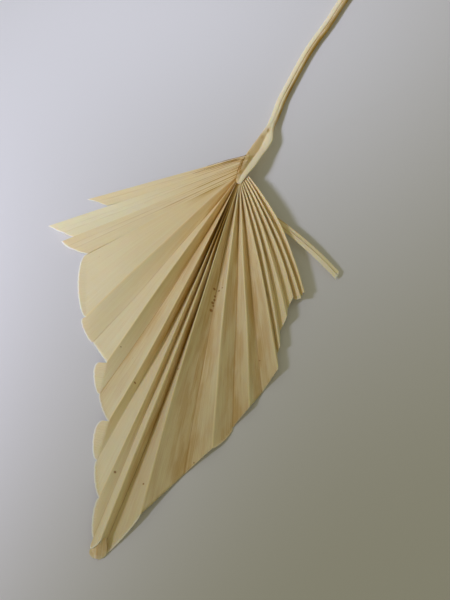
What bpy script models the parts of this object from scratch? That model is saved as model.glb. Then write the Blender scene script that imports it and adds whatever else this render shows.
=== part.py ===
"""Dried palm spear: the leaf of a fan palm, trimmed to a spear and dried, lying on a surface.

It grew as one piece, so it is one solid: the leaf stalk, the tongue where the stalk ends in the
leaf, and the pleated blade with the narrow strips that split from its sides. Metres, +Z up. The
spear points along -Y, the stalk runs along +Y, and the leaf lies on the plane z = 0.
"""
import math
from typing import NamedTuple

import bmesh
import bpy

# Driving sizes, in millimetres and degrees
MM = 0.001
HUB_X = 11.5  # the hub, where every fold starts, from the middle of the leaf's box
HUB_Y = -39.0
HUB_LIFT = 6.5  # height of the blade's underside at the hub
LEAF_THICK = 0.8
HUB_THICK = 3.0  # the folds are pressed together there
HUB_THICK_REACH = 50.0
MOST_THICK = 2.4  # measured upright, on the steepest panels
FALL_REACH = 130.0  # distance from the hub at which the underside meets the surface
FALL_SIDE = 0.4  # added to it for each degree to the right
FALL_POWER = 1.6
HUB_RIDGE = 1.0  # a ridge's lift at the hub
CREST_WIDTH = 0.8
CREST_SHARE = 0.3  # of the way to the next fold, where the folds are close
STATIONS = 12
STRIP_STATIONS = 8

# The folds start round the tongue's lip, on an oval, and evenly spread across it
OVAL_X, OVAL_Y = -0.2, 4.0
OVAL_WIDE, OVAL_LONG = 2.9, 6.3
OVAL_FROM, OVAL_TO = -115.0, 100.0


class Fold(NamedTuple):
    """One fold line. Its angle is from the spear's axis, and right is positive."""

    ridge: bool
    angle: float
    reach: float  # from the hub to its tip
    bow: float  # how far its middle stands out to the right of straight
    lift_mid: float = 0.0  # of a ridge above the valleys, at half its length
    lift_tip: float = 0.0
    lobe: float = 0.0  # how far the cut edge stands out between this fold and the next
    lobe_skew: float = 0.6  # under 1 puts the lobe nearer this fold


class Strip(NamedTuple):
    """A narrow folded strip that split from the blade, as two edges with a crease between."""

    root: tuple  # x and y of its first and second edge
    tip: tuple
    height: tuple  # of its underside at the root and at the tip
    crease: float  # how far the crease stands above the edges
    tilt: float  # how far the first edge stands above the second
    bow: float


FOLDS = (
    Fold(False, -45.5, 89.0, -2.0, lobe=4.6, lobe_skew=0.9),
    Fold(True, -26.5, 109.0, -0.5, 4.0, 3.5, lobe=2.6),
    Fold(False, -20.5, 115.5, 0.5),
    Fold(True, -14.0, 121.0, 0.0, 5.0, 4.5, lobe=5.0),
    Fold(False, -11.5, 134.5, 1.0, lobe=1.2, lobe_skew=0.8),
    Fold(True, -6.7, 145.0, 2.6, 6.5, 5.0, lobe=5.0),
    Fold(False, -5.6, 162.0, 3.6, lobe=1.7, lobe_skew=0.9),
    Fold(True, -2.1, 177.5, 2.0, 6.5, 5.0, lobe=2.1, lobe_skew=0.7),
    Fold(False, -1.2, 190.0, 2.7, 2.0, 1.0, lobe=5.0, lobe_skew=1.3),
    Fold(True, 0.1, 192.5, 1.5, 8.0, 4.5),
    Fold(False, 0.8, 200.5, 2.0),
    Fold(True, 3.8, 178.5, 0.2, 4.0, 3.0),
    Fold(False, 8.5, 157.0, -0.5),
    Fold(True, 12.6, 144.5, -1.0, 3.5, 3.0, lobe=1.4, lobe_skew=1.2),
    Fold(False, 16.0, 133.5, 0.5),
    Fold(True, 19.5, 124.5, 0.5, 3.0, 3.0),
    Fold(False, 22.4, 117.0, 0.5),
    Fold(True, 27.0, 107.5, 1.2, 5.0, 4.5),
    Fold(False, 27.9, 98.0, 1.7, 1.5, 1.0),
    Fold(True, 28.8, 96.5, 2.4, 4.5, 4.0),
    Fold(False, 30.3, 87.0, 2.7, 1.0, 1.0),
    Fold(True, 33.4, 82.5, 2.2, 4.5, 4.0),
    Fold(False, 35.6, 76.0, 2.4, 1.0, 1.0),
    Fold(True, 38.6, 73.0, 2.2, 4.5, 4.0),
    Fold(False, 39.7, 72.5, 2.9, 1.0, 1.0),
    Fold(True, 41.4, 75.0, 2.5, 4.5, 4.0),
    Fold(False, 42.6, 72.0, 3.2, 1.0, 1.0),
    Fold(True, 43.8, 72.5, 4.1, 4.0, 3.0),
)
LOBE_SHARES = (0.08, 0.25, 0.45, 0.65, 0.85)

STRIPS = (
    # left, from the blade outwards
    Strip(((-1.4, 11.5), (-1.4, 8.0)), ((-76.5, -60.5), (-62.0, -64.5)), (6.4, 0.6), 0.8, 0.9, 0.0),
    Strip(((-1.4, 15.0), (-1.4, 12.0)), ((-87.0, -54.5), (-71.5, -57.0)), (6.7, 1.2), 0.7, 1.6, 0.0),
    Strip(((-1.2, 18.5), (-1.2, 15.5)), ((-74.5, -31.5), (-67.5, -35.5)), (7.2, 3.6), 1.0, 0.5, 0.5),
    # right, under the last folds
    Strip(((2.4, 5.4), (2.4, 0.8)), ((63.8, -35.2), (63.8, -39.4)), (5.8, 0.0), 1.4, 0.3, 0.0),
    # the edge that is turned under at the spear's tip
    Strip(((-1.0, -168.0), (4.5, -168.0)), ((-2.6, -199.5), (2.9, -200.3)), (0.4, 0.1), 0.3, 0.2, 0.0),
)

# The stalk from the tongue's lip to the cut end: x, y, height of its middle, width, thickness
STALK = (
    (-0.9, -0.8, 10.0, 2.4, 1.2),
    (-0.4, 4.0, 9.8, 4.6, 2.6),
    (0.4, 10.0, 9.3, 6.4, 3.8),
    (1.4, 18.0, 8.7, 7.8, 4.2),
    (2.7, 27.0, 8.0, 8.0, 4.2),
    (3.8, 36.0, 7.2, 7.4, 4.2),
    (4.0, 45.0, 6.2, 5.0, 4.0),
    (3.8, 54.0, 5.3, 4.1, 3.8),
    (4.3, 72.0, 3.8, 4.0, 3.8),
    (5.2, 90.0, 2.9, 4.2, 4.0),
    (7.6, 118.0, 2.3, 4.6, 4.2),
    (12.2, 147.0, 2.2, 5.0, 4.4),
    (17.2, 172.0, 2.3, 5.4, 4.8),
    (24.0, 208.0, 2.5, 5.8, 5.2),
    (31.0, 244.0, 2.6, 6.2, 5.4),
    (37.5, 279.0, 2.7, 6.6, 5.6),
)
STALK_SIDES = 12
STALK_STEPS = 2  # rings between two rows above, on a smooth curve

# The lump in which every fold is rooted, under the tongue
CORE_WIDE, CORE_LONG = 8.4, 15.6
CORE_LOW, CORE_HIGH = 4.9, 10.2
CORE_SEGMENTS, CORE_RINGS = 16, 8

LEAF_COLOUR = (0.80, 0.70, 0.46, 1.0)
LEAF_ROUGH = 0.62


def quadratic(start, middle, end, t):
    """The smooth value at t from its values at 0, a half and 1."""
    return start * (2 * t - 1) * (t - 1) + middle * 4 * t * (1 - t) + end * t * (2 * t - 1)


def underside(x, y):
    """Height of the blade's underside in a valley, at a point measured from the hub."""
    distance = math.hypot(x, y)
    angle = math.degrees(math.atan2(x, -y))
    fall = FALL_REACH + FALL_SIDE * max(-60.0, min(60.0, angle))
    return HUB_LIFT * max(0.0, 1 - distance / fall) ** FALL_POWER


def hub_extra(x, y):
    """How much thicker the pressed folds are near the hub."""
    near = max(0.0, 1 - math.hypot(x, y) / HUB_THICK_REACH)
    return (HUB_THICK - LEAF_THICK) * near**2


def along(root, tip, bow, t):
    """A point and the direction to its right on a bowed line."""
    dx, dy = tip[0] - root[0], tip[1] - root[1]
    length = math.hypot(dx, dy)
    right = (-dy / length, dx / length)
    out = 4 * bow * t * (1 - t)
    return (root[0] + dx * t + right[0] * out, root[1] + dy * t + right[1] * out), right


def fold_root(index):
    share = index / (len(FOLDS) - 1)
    turn = math.radians(OVAL_FROM + (OVAL_TO - OVAL_FROM) * share)
    return OVAL_X + OVAL_WIDE * (2 * share - 1), OVAL_Y - OVAL_LONG * math.cos(turn)


def fold_tip(fold):
    turn = math.radians(fold.angle)
    return fold.reach * math.sin(turn), -fold.reach * math.cos(turn)


def blade_row(t):
    """The edges of each fold's crest across the blade at one station: x, y, top and bottom."""
    points = []
    for index, fold in enumerate(FOLDS):
        place, right = along(fold_root(index), fold_tip(fold), fold.bow, t)
        lift = quadratic(HUB_RIDGE if fold.ridge else 0.0, fold.lift_mid, fold.lift_tip, t)
        points.append((place, right, lift))
    gaps = []
    for (a, right, _), (b, _, _) in zip(points, points[1:]):
        gaps.append(abs((b[0] - a[0]) * right[0] + (b[1] - a[1]) * right[1]))
    row = []
    for index, (place, right, lift) in enumerate(points):
        beside = gaps[max(0, index - 1) : index + 1]
        steepest = 0.0
        for other, gap in ((index - 1, beside[0]), (index + 1, beside[-1])):
            if 0 <= other < len(points):
                steepest = max(steepest, abs(points[other][2] - lift) / gap)
        upright = min(MOST_THICK, LEAF_THICK * math.hypot(1.0, steepest))
        low = underside(*place)
        top = low + hub_extra(*place) + lift + (LEAF_THICK if FOLDS[index].ridge else upright)
        bottom = low if lift == 0 else top - upright - hub_extra(*place)
        half = min(CREST_WIDTH / 2, CREST_SHARE * min(beside))
        for side in (-half, half):
            x, y = place[0] + right[0] * side, place[1] + right[1] * side
            row.append((x, y, top, max(0.0, bottom)))
    return row


def lobe_points(fold, start, end):
    """The cut edge of the panel after a fold, which stands out from the line between its corners."""
    length = math.hypot(end[0] - start[0], end[1] - start[1])
    outward = ((end[1] - start[1]) / length, (start[0] - end[0]) / length)
    points = []
    for share in LOBE_SHARES:
        x, y, top, bottom = (a + (b - a) * share for a, b in zip(start, end))
        out = fold.lobe * math.sin(math.pi * share**fold.lobe_skew)
        points.append((x + outward[0] * out, y + outward[1] * out, top, bottom))
    return points


def strip_row(strip, t):
    low = strip.height[0] + (strip.height[1] - strip.height[0]) * t
    edges = [along(strip.root[i], strip.tip[i], strip.bow, t)[0] for i in (0, 1)]
    row = []
    for share, lift in ((0.0, strip.tilt), (0.45, strip.tilt / 2 + strip.crease), (1.0, 0.0)):
        x, y = (u + (v - u) * share for u, v in zip(*edges))
        row.append((x, y, low + lift + LEAF_THICK, low + lift))
    return row


def grid_faces(rows, columns):
    """Two triangles for each cell of a grid of points, numbered row by row."""
    faces = []
    for i in range(rows - 1):
        for j in range(columns - 1):
            a, b = i * columns + j, i * columns + j + 1
            faces += [(a, a + columns, b + columns), (a, b + columns, b)]
    return faces


def slab(name, points, faces):
    """A closed solid between the top and the bottom of each point, both split alike."""
    body = bmesh.new()
    top = [body.verts.new(placed(x, y, high)) for x, y, high, low in points]
    bottom = [body.verts.new(placed(x, y, low)) for x, y, high, low in points]
    for face in faces:
        body.faces.new([top[i] for i in face])
    below = {upper: lower for upper, lower in zip(top, bottom)}
    rim = [edge for edge in body.edges if len(edge.link_faces) == 1]
    for edge in rim:
        a, b = edge.verts
        body.faces.new((a, b, below[b], below[a]))
    for face in faces:
        body.faces.new([bottom[i] for i in reversed(face)])
    bmesh.ops.recalc_face_normals(body, faces=body.faces)
    return finished(name, body)


def blade_solid(name):
    """The pleated blade, with its cut edge."""
    rows = [blade_row(i / STATIONS) for i in range(STATIONS + 1)]
    columns = len(rows[0])
    points = [point for row in rows for point in row]
    faces = grid_faces(len(rows), columns)
    last = STATIONS * columns
    for index, fold in enumerate(FOLDS):
        if fold.lobe:
            start, end = last + 2 * index + 1, last + 2 * index + 2
            before = start
            for point in lobe_points(fold, points[start], points[end]):
                points.append(point)
                faces.append((before, len(points) - 1, end))
                before = len(points) - 1
    return slab(name, points, faces)


def strip_solid(name, strip):
    rows = [strip_row(strip, i / STRIP_STATIONS) for i in range(STRIP_STATIONS + 1)]
    return slab(name, [point for row in rows for point in row], grid_faces(len(rows), len(rows[0])))


def core_solid(name):
    body = bmesh.new()
    bmesh.ops.create_uvsphere(body, u_segments=CORE_SEGMENTS, v_segments=CORE_RINGS, radius=0.5)
    size = (CORE_WIDE * MM, CORE_LONG * MM, (CORE_HIGH - CORE_LOW) * MM)
    bmesh.ops.scale(body, vec=size, verts=body.verts)
    middle = placed(OVAL_X, OVAL_Y, (CORE_LOW + CORE_HIGH) / 2)
    bmesh.ops.translate(body, vec=middle, verts=body.verts)
    return finished(name, body)


def placed(x, y, z):
    """A point measured from the hub in millimetres, in the leaf's frame in metres."""
    return ((HUB_X + x) * MM, (HUB_Y + y) * MM, z * MM)


def finished(name, body):
    mesh = bpy.data.meshes.new(name)
    body.to_mesh(mesh)
    body.free()
    return bpy.data.objects.new(name, mesh)


def smooth_rows(rows, steps):
    """Rows on a smooth curve through the given rows, with steps of them to each."""
    full = []
    for index in range(len(rows) - 1):
        before = rows[max(0, index - 1)]
        a, b = rows[index], rows[index + 1]
        after = rows[min(len(rows) - 1, index + 2)]
        for step in range(steps):
            t = step / steps
            full.append(tuple(between(*values, t) for values in zip(before, a, b, after)))
    return full + [rows[-1]]


def between(before, a, b, after, t):
    """The cubic through a and b that heads the way its neighbours do."""
    m = (b - before) / 2
    n = (after - a) / 2
    return (
        a * (2 * t**3 - 3 * t**2 + 1)
        + m * (t**3 - 2 * t**2 + t)
        + b * (3 * t**2 - 2 * t**3)
        + n * (t**3 - t**2)
    )


def stalk_solid(name):
    """The stalk: ovals along a curve, from the tongue's lip to the cut end."""
    rows = smooth_rows(STALK, STALK_STEPS)
    body = bmesh.new()
    rings = []
    for index, (x, y, z, width, thick) in enumerate(rows):
        before, after = rows[max(0, index - 1)], rows[min(len(rows) - 1, index + 1)]
        heading = math.atan2(after[0] - before[0], after[1] - before[1])
        ring = []
        for side in range(STALK_SIDES):
            turn = 2 * math.pi * (side + 0.5) / STALK_SIDES
            out = math.cos(turn) * width / 2
            across, back = out * math.cos(heading), out * math.sin(heading)
            up = max(0.0, z + math.sin(turn) * thick / 2)
            ring.append(body.verts.new(placed(x + across, y - back, up)))
        rings.append(ring)
    for ring, following in zip(rings, rings[1:]):
        for side in range(STALK_SIDES):
            after = (side + 1) % STALK_SIDES
            body.faces.new((ring[side], ring[after], following[after], following[side]))
    body.faces.new(rings[0][::-1])
    body.faces.new(rings[-1])
    bmesh.ops.recalc_face_normals(body, faces=body.faces)
    return finished(name, body)


def leaf_material():
    material = bpy.data.materials.new("dried_leaf")
    material.use_nodes = True
    shader = material.node_tree.nodes["Principled BSDF"]
    shader.inputs["Base Color"].default_value = LEAF_COLOUR
    shader.inputs["Roughness"].default_value = LEAF_ROUGH
    shader.inputs["Metallic"].default_value = 0.0
    return material


def join_all(leaf, pieces):
    """Joins the pieces to the leaf by one union, and removes them."""
    joined = bpy.data.collections.new("leaf_pieces")
    bpy.context.scene.collection.children.link(joined)
    for piece in pieces:
        joined.objects.link(piece)
    union = leaf.modifiers.new("union", "BOOLEAN")
    union.operation = "UNION"
    union.operand_type = "COLLECTION"
    union.collection = joined
    union.solver = "EXACT"
    bpy.context.view_layer.objects.active = leaf
    bpy.ops.object.modifier_apply(modifier=union.name)
    for piece in pieces:
        bpy.data.objects.remove(piece)
    bpy.data.collections.remove(joined)


def main():
    for thing in list(bpy.data.objects):
        bpy.data.objects.remove(thing)
    group = bpy.data.collections.new("dried_palm_spear")
    bpy.context.scene.collection.children.link(group)
    leaf = blade_solid("palm_leaf")
    group.objects.link(leaf)
    pieces = [stalk_solid("stalk"), core_solid("core")]
    pieces += [strip_solid("strip", strip) for strip in STRIPS]
    join_all(leaf, pieces)
    leaf.data.materials.append(leaf_material())


main()
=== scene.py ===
"""Dried palm spear: the finished look of the leaf, with its camera, light and floor.

The pleated blade, the strips that split from it, the stalk with the tongue where it ends in the
leaf, and a few fibres at that place stand for the one grown leaf of the frame. Metres, +Z up; the
shapes are worked out in millimetres from the hub, where every fold starts.
"""
import math
from typing import NamedTuple

import bpy
import numpy as np
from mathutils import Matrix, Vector

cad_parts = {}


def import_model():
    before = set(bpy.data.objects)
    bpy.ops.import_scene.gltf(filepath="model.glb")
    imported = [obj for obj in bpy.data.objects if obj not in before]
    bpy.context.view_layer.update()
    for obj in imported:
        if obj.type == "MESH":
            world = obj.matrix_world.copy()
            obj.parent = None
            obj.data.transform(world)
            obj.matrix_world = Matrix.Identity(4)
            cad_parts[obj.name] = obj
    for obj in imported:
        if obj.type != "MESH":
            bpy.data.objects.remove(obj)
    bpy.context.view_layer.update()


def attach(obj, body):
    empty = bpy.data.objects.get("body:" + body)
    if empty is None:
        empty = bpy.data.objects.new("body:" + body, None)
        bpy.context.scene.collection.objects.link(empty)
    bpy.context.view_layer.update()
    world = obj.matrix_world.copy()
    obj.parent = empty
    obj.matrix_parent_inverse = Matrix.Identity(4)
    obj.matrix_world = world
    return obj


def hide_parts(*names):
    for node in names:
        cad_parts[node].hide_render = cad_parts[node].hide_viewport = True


MM = 0.001
HUB_X, HUB_Y = 11.5, -39.0  # the hub in the leaf's frame
GOLDEN = 0.618034  # steps of this share spread the folds' small differences evenly

# The blade
HUB_LIFT = 6.5  # height of the blade's underside at the hub
FALL_REACH = 130.0  # distance from the hub at which the underside meets the surface
FALL_SIDE = 0.4  # added to it for each degree to the right
FALL_MOST = 60.0  # angle beyond which nothing more is added
FALL_POWER = 1.6  # over 1 makes the underside's line hollow
HUB_RIDGE = 1.5  # a ridge's lift at the hub
DIP_REACH = 38.0  # distance from the hub at which a deep valley sinks most
BLADE_THICK = 0.38
BLADE_CLEAR = 0.25  # the middle of the blade above its underside's line
RIB_RISE = 0.45  # a ridge's crest above the line of its lift
ROUND = 0.5  # a fold is rounded over this distance on each side
ROUND_LEAST, ROUND_MOST = 0.02, 0.45  # limits of that, as shares of the panel's width
NARROW = 0.01  # least width that such a share is taken of
SAG = 0.13  # how far a panel hangs under the straight line from valley to ridge, per lift
WANDER = 0.22  # how far a fold strays from its bowed line
WANDER_TURNS = 1.3
WAVE = 0.22  # how far a panel waves up and down along its length
WAVE_TURNS = 1.7
COLUMN = 0.68  # distance between columns at the cut edge
LEAST_COLUMNS = 6
CLUSTER = 0.55  # how far the columns crowd towards the folds
ROWS = 88
ROW_POWER = 1.15  # over 1 crowds the rows towards the hub
FRINGE_ROWS = 5
LOBE_POWER = 0.5  # under 1 makes a lobe squarer than a sine wave
NIBBLE = 0.07  # how uneven the cut edge is
NIBBLE_LENGTH = 2.3  # length of one wave of it
NIBBLE_TURN = 4.7  # radians over that length of the second wave in it

# The folds start round the tongue's lip, on an oval, and evenly spread across it
OVAL_X, OVAL_Y = -0.2, 4.6
OVAL_WIDE, OVAL_LONG = 2.9, 5.5
OVAL_FROM, OVAL_TO = -115.0, 116.0
RIDGE_LEAN = 0.3  # share of a step by which a right ridge starts nearer to the next fold
RIGHT = 2.0  # angle beyond which a fold is a right one
FAR_RIGHT = 20.0  # angle beyond which it is one of those furthest to the right

# Colour that depends on the place: brown in the folds by the hub, partly painted shade, tan round it,
# white at the tips
HUB_BROWN, HUB_BROWN_REACH = 0.8, 40.0
HUB_BROWN_FADE = 0.2  # share of that reach from which it fades
HUB_BROWN_POWER = 2.5  # keeps it to the valleys
HUB_BROWN_RIGHT = 0.2  # share of it in the folds furthest to the right
BROWN_FADE = 0.35  # share of a brown's reach from which it fades
BROWN_SPREAD = 0.3  # share of a panel's brown that gets as far as its ridge
BROWN_SPREAD_RIGHT = 0.5  # the same in the right folds
DEEP_FROM, DEEP_TO = 20.0, 78.0  # where the brown of the deep folds fades
TAN_FALL = 42.0  # distance over which the tan fades
TAN_RIGHT = 0.28  # share of the tan to the right of the spear's axis
PALE_FROM = 0.55  # share of a panel's length from which it gets paler
HUB_TINT = (0.3, 1.0, 0.0)  # how brown, tan and pale the middle of the hub is
AWAY = 9.0  # a distance at which the material draws no fold and no cut edge
UNMARKED = (AWAY, AWAY, AWAY)  # the marks of a surface with none of these lines

# The camera: where it looks, how it is turned from the leaf's axis, and its field of view
AIM = (24.4, -104.6)
CAMERA_TURN = math.radians(18.0)
CAMERA_RISE = math.radians(60.0)
CAMERA_DISTANCE = 362.1
FIELD_OF_VIEW = math.radians(45.0)
SENSOR = 36.0


class Light(NamedTuple):
    """A soft lamp.

    Its place is metres to the right, away and up from the picture's middle, as the camera sees it.
    Its target is a point of the floor, given in the same way.
    """

    name: str
    place: tuple
    target: tuple
    size: float  # across the lamp, in metres
    energy: float
    colour: tuple
    spread: float  # degrees


WINDOW = (-1.152, -0.513, 0.985)
LIGHTS = (
    Light("window_near", WINDOW, (-0.359, -0.117), 0.35, 0.56, (0.76, 0.76, 1.0), 12.0),
    Light("window_far", WINDOW, (-0.062, 0.23), 0.35, 0.46, (0.75, 0.77, 1.0), 18.0),
)
ROOM_COLOUR = (1.0, 0.96, 0.68)
ROOM_STRENGTH = 0.28
FLOOR_COLOUR = (0.77, 0.77, 0.77)
FLOOR_ROUGHNESS = 0.7
FLOOR_SIZE = 6.0  # metres
FLOOR_DROP = 0.2  # the floor under the leaf's lowest points


class Fold(NamedTuple):
    """One fold line and the panel after it, up to the next fold on the right."""

    ridge: bool
    angle: float  # degrees from the spear's axis, and right is positive
    reach: float  # from the hub to its tip
    bow: float  # how far its middle stands out to the right of straight
    lift_mid: float = 0.0  # above the line of the blade's underside, at half its length
    lift_tip: float = 0.0  # the same at its tip
    lobe: float = 0.0  # how far the panel's cut edge stands out
    lobe_skew: float = 0.6  # under 1 puts the lobe nearer this fold
    dip: float = 0.0  # how far a valley sinks near the hub
    # brown and deep are the leaf's own brown and also painted shade in the folds: by the valleys and
    # in the deep folds by the hub
    brown: float = 0.0  # how brown the panel is by its valley
    brown_reach: float = 100.0  # distance from the hub at which that has faded
    deep: float = 0.0  # how brown the whole panel is near the hub
    pale: float = 0.25  # how pale its tip is


class Strip(NamedTuple):
    """A narrow piece beside the blade. Its two edges go through three points each."""

    first: tuple  # x and y at the root, halfway and at the tip
    second: tuple
    height: tuple  # of its underside at the same three places
    profile: tuple  # share of its width and height above the underside, from the first edge
    bulge: float  # how far its cut end stands out
    tan: float  # how tan it is by its root
    pale: float  # how pale its tip is
    brown: float = 0.0  # how brown it is all over


FOLDS = (
    # left, where the panels are broad and end in lobes
    Fold(False, -45.5, 89.0, -2.0, lobe=4.3, lobe_skew=0.85, pale=0.35),
    Fold(True, -26.5, 108.7, -0.5, 3.2, 1.9, lobe=2.8, lobe_skew=0.5, brown=0.16, brown_reach=90.0),
    Fold(False, -20.5, 115.5, 0.5, pale=0.35),
    Fold(True, -14.0, 120.6, 0.0, 4.2, 2.1, lobe=5.4, lobe_skew=0.45, brown=0.28, brown_reach=125.0),
    Fold(False, -11.5, 134.5, 1.0, lobe=1.2, lobe_skew=0.8, dip=0.6, brown=0.24, brown_reach=300.0),
    # middle, where the folds are deep and reach the spear's tip
    # these folds' brown and deep brown include painted shade in their deep, narrow creases
    Fold(
        True, -6.7, 144.7, 2.1, 4.6, 2.6,
        lobe=5.2, lobe_skew=0.55, brown=0.66, brown_reach=150.0, deep=0.8,
    ),
    Fold(False, -5.6, 162.0, 2.0, lobe=1.7, lobe_skew=0.9, dip=1.4, brown=0.12, deep=0.6),
    Fold(
        True, -2.4, 176.9, 1.3, 5.2, 2.8,
        lobe=1.7, lobe_skew=0.8, brown=0.44, brown_reach=205.0, deep=0.8,
    ),
    Fold(
        False, -1.05, 192.8, 0.3, 2.2, 2.6,
        lobe=4.4, lobe_skew=0.5, dip=1.2, brown=0.35, brown_reach=110.0, deep=0.6, pale=0.1,
    ),
    Fold(True, 0.1, 192.8, 0.9, 5.6, 4.3, brown=0.52, brown_reach=240.0, deep=0.8, pale=0.0),
    Fold(
        False, 0.4, 200.1, 2.6, 1.2, 0.0,
        lobe=1.2, lobe_skew=1.0, dip=1.4, brown=0.32, brown_reach=260.0, deep=0.6, pale=0.1,
    ),
    # right, where the panels get narrow and end in a slanting saw edge
    # the brown of these right folds is painted shade, darkening the panels along their whole length
    # and most at the valleys
    Fold(True, 3.8, 178.5, -1.3, 5.2, 2.7, brown=0.28, brown_reach=500.0, pale=0.0),
    Fold(False, 8.5, 157.0, -1.4, dip=0.8, brown=0.28, brown_reach=500.0, pale=0.0),
    Fold(
        True, 12.6, 144.5, -1.2, 2.8, 2.0,
        lobe=1.4, lobe_skew=1.2, brown=0.28, brown_reach=500.0, pale=0.0,
    ),
    Fold(False, 16.0, 133.5, 0.2, dip=0.6, brown=0.3, brown_reach=500.0, pale=0.0),
    Fold(True, 19.5, 124.5, 0.3, 2.5, 2.0, brown=0.28, brown_reach=500.0, pale=0.0),
    Fold(False, 22.4, 117.0, 0.3, dip=0.5, brown=0.28, brown_reach=500.0, pale=0.0),
    Fold(True, 27.0, 107.5, 1.0, 3.8, 3.4, brown=0.14, pale=0.0),
    Fold(False, 27.9, 98.0, 1.5, 0.8, 0.6, dip=0.5, brown=0.12, pale=0.0),
    Fold(True, 28.8, 96.5, 2.2, 3.6, 3.2, brown=0.14, pale=0.0),
    Fold(False, 30.3, 87.0, 2.5, 0.6, 0.5, brown=0.12, pale=0.0),
    Fold(True, 33.4, 82.5, 2.0, 3.6, 3.2, brown=0.14, pale=0.0),
    Fold(False, 35.6, 76.0, 2.2, 0.6, 0.5, brown=0.12, pale=0.0),
    Fold(True, 38.4, 73.0, 2.0, 3.6, 3.2, brown=0.14, pale=0.0),
    Fold(False, 39.4, 72.5, 2.6, 0.6, 0.5, brown=0.12, pale=0.0),
    Fold(True, 41.0, 75.0, 2.2, 3.6, 3.4, brown=0.14, pale=0.0),
    Fold(False, 42.2, 72.0, 2.8, 0.6, 0.5, brown=0.12, pale=0.0),
    Fold(True, 43.4, 72.5, 3.6, 3.6, 3.0),
)

STRIPS = (
    # left, from the blade outwards
    Strip(
        ((-1.2, 15.0), (-39.7, -22.5), (-78.2, -60.2)),
        ((-0.8, 6.4), (-32.0, -26.4), (-63.0, -62.2)),
        (6.2, 2.6, 0.7),
        ((0.0, 2.1), (0.3, 1.4), (0.55, 1.6), (1.0, 0.3)),
        bulge=1.7,
        tan=0.8,
        pale=0.4,
        brown=0.08,
    ),
    Strip(
        ((-1.0, 19.0), (-44.4, -17.1), (-88.1, -54.0)),
        ((-1.2, 14.7), (-37.4, -20.5), (-73.0, -55.4)),
        (6.4, 3.5, 1.3),
        ((0.0, 2.8), (0.35, 1.9), (0.6, 2.0), (1.0, 0.2)),
        bulge=0.6,
        tan=0.75,
        # its pale tip is partly a painted sheen
        pale=1.0,
    ),
    Strip(
        ((-1.0, 22.2), (-37.4, -4.4), (-74.9, -32.6)),
        ((-1.2, 18.6), (-33.6, -8.4), (-64.3, -31.9)),
        (6.4, 4.9, 3.4),
        ((0.0, 2.2), (0.45, 1.9), (1.0, 0.0)),
        bulge=0.0,
        tan=0.7,
        pale=0.35,
    ),
    # right, under the last folds
    Strip(
        ((2.6, -5.0), (33.9, -16.6), (63.4, -33.2)),
        ((3.2, -8.8), (34.2, -21.4), (62.6, -37.6)),
        (5.0, 3.9, 1.0),
        ((0.0, 0.9), (0.45, 0.7), (0.55, 1.2), (1.0, 0.2)),
        bulge=0.2,
        tan=0.4,
        # its paleness is partly painted light
        pale=0.8,
        brown=0.03,
    ),
    # the end that is turned under at the spear's tip
    Strip(
        ((-2.4, -194.0), (-3.5, -197.0), (-2.6, -199.4)),
        ((1.8, -191.6), (3.6, -195.4), (3.6, -198.0)),
        (3.4, 2.2, 0.0),
        ((0.0, -2.6), (0.5, 1.0), (1.0, -0.4)),
        bulge=1.3,
        tan=0.0,
        pale=0.0,
        # its brown is painted shade: this turned-under end lies in shade
        brown=0.1,
    ),
)
STRIP_ROWS, STRIP_COLUMNS = 96, 40
STRIP_END_POWER = 8  # keeps the bulge of the cut end to the strip's last part
STRIP_LEAST = 0.4  # share of the profile's height that would be left at no width
CREASE_LEAST, CREASE_SCALE = 0.25, 0.5  # make a crease's line fainter than a valley's, and wider
STRIP_LINES = 4.3  # brown lines side by side near the root of a strip that is tan there
STRIP_LINE_STRAY = 0.3  # how unevenly they are spread
STRIP_LINE_POWER = 5  # makes them narrow
STRIP_LINE_BROWN = 0.5
STRIP_LINE_FROM, STRIP_LINE_TO = 8.0, 50.0  # distances from the root between which they fade
STRIP_LINE_UNEVEN = 22.0  # how much further or less far one of them reaches
STRAY_TURN, UNEVEN_TURN, END_TURN = 9.0, 13.0, 19.0  # radians across a strip of its small waves
STRIP_ROOT_BROWN = 0.1
STRIP_ROOT_FROM, STRIP_ROOT_TO = 3.0, 12.0  # distances from the root between which that fades
STRIP_TAN_FALL = 75.0  # distance over which its tan fades
STRIP_ROOT_PALE = 0.4  # the palest that its root can be
STRIP_PALE_FROM, STRIP_PALE_TO = 0.2, 0.9  # shares of its length between which it gets paler

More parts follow.
